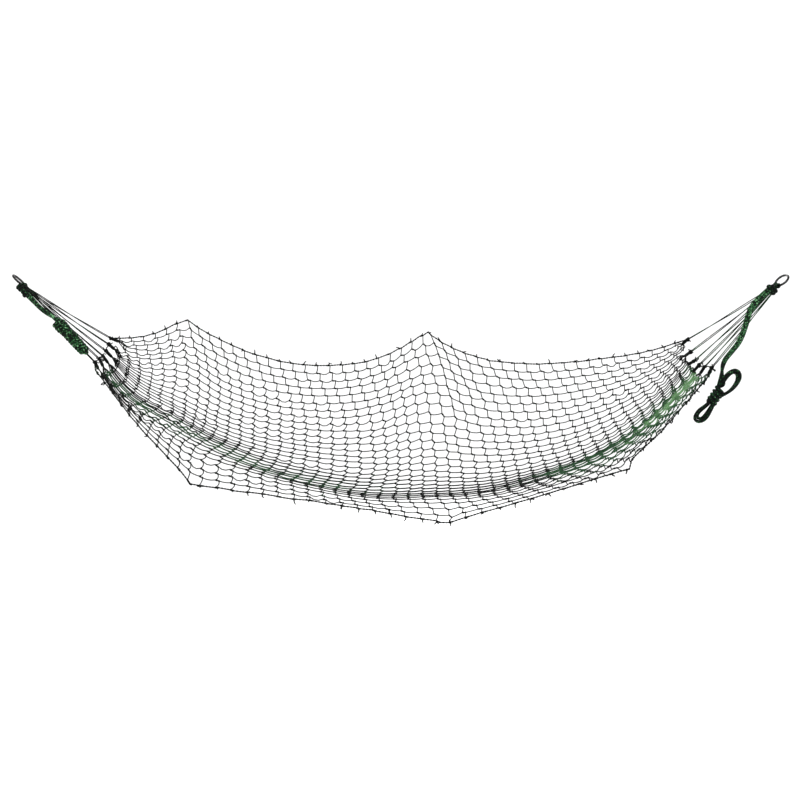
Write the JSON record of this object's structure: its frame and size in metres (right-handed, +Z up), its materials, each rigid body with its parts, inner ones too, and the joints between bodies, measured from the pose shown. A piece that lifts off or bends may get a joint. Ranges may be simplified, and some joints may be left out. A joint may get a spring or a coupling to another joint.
{
  "type": "string hammock",
  "caption": "Camouflage string hammock: a knotted net bed hung from two steel rings by fans of clew lines, with a hanked rope at each ring.",
  "frame": {"origin": "centre of the left ring's eye, where a hook holds the hammock", "axes": "+X along the hammock to the right ring, +Y to the high rear edge of the bed, +Z up"},
  "size_m": [2.3275, 0.5353, 0.7044],
  "materials": {
    "net_string": "matte twisted string",
    "border_cord": "matte twisted cord",
    "rope": "braided, black and green",
    "ring_steel": "dull, slightly dark"
  },
  "bodies": {
    "left_hitch": {"left_ring_hitch": "net_string"},
    "left_ring": {"left_ring": "ring_steel"},
    "hammock": {"net_bed": "net_string", "rear_border_cord": "border_cord", "front_border_cord": "border_cord", "left_clew_1": "net_string", "left_clew_2": "net_string", "left_clew_3": "net_string", "left_clew_4": "net_string", "left_clew_5": "net_string", "left_clew_6": "net_string", "left_end_knot_1": "net_string", "left_end_knot_2": "net_string", "left_end_knot_3": "net_string", "left_end_knot_4": "net_string", "left_end_knot_5": "net_string", "left_end_knot_6": "net_string", "right_clew_1": "net_string", "right_clew_2": "net_string", "right_clew_3": "net_string", "right_clew_4": "net_string", "right_clew_5": "net_string", "right_clew_6": "net_string", "right_end_knot_1": "net_string", "right_end_knot_2": "net_string", "right_end_knot_3": "net_string", "right_end_knot_4": "net_string", "right_end_knot_5": "net_string", "right_end_knot_6": "net_string", "left_rope_knot": "rope", "right_rope_knot": "rope", "right_rope_lead": "rope"},
    "right_hitch": {"right_ring_hitch": "net_string"},
    "right_ring": {"right_ring": "ring_steel"},
    "left_rope": {"left_rope_lead": "rope", "left_rope_hank": "rope"},
    "right_hank": {"right_rope_hank": "rope"}
  },
  "joints": [
    {"name": "left_ring_tilt", "type": "hinge", "parent": "left_hitch", "child": "left_ring", "pos_m": [0.01485, 0, -0.01485], "axis": [0, 1, 0], "range_deg": [-80, 80]},
    {"name": "hammock_swing", "type": "hinge", "parent": "left_hitch", "child": "hammock", "pos_m": [0.01485, 0, -0.01485], "axis": [1, 0, 0], "range_deg": [-30, 30]},
    {"name": "right_hitch_turn", "type": "hinge", "parent": "hammock", "child": "right_hitch", "pos_m": [2.27515, 0, -0.01485], "axis": [1, 0, 0], "range_deg": [-30, 30]},
    {"name": "right_ring_tilt", "type": "hinge", "parent": "right_hitch", "child": "right_ring", "pos_m": [2.27515, 0, -0.01485], "axis": [-0.2418, 0.9397, 0.2418], "range_deg": [-80, 80]},
    {"name": "left_rope_lift", "type": "hinge", "parent": "hammock", "child": "left_rope", "pos_m": [0.026, -0.021, -0.038], "axis": [0, -1, 0], "range_deg": [0, 60]},
    {"name": "right_hank_swing", "type": "hinge", "parent": "hammock", "child": "right_hank", "pos_m": [2.075, -0.118, -0.272], "axis": [-1, 0, 0], "range_deg": [-10, 45]}
  ],
  "couplings": [
    {"joint": "right_hitch_turn", "follows": "hammock_swing", "ratio": -1}
  ]
}
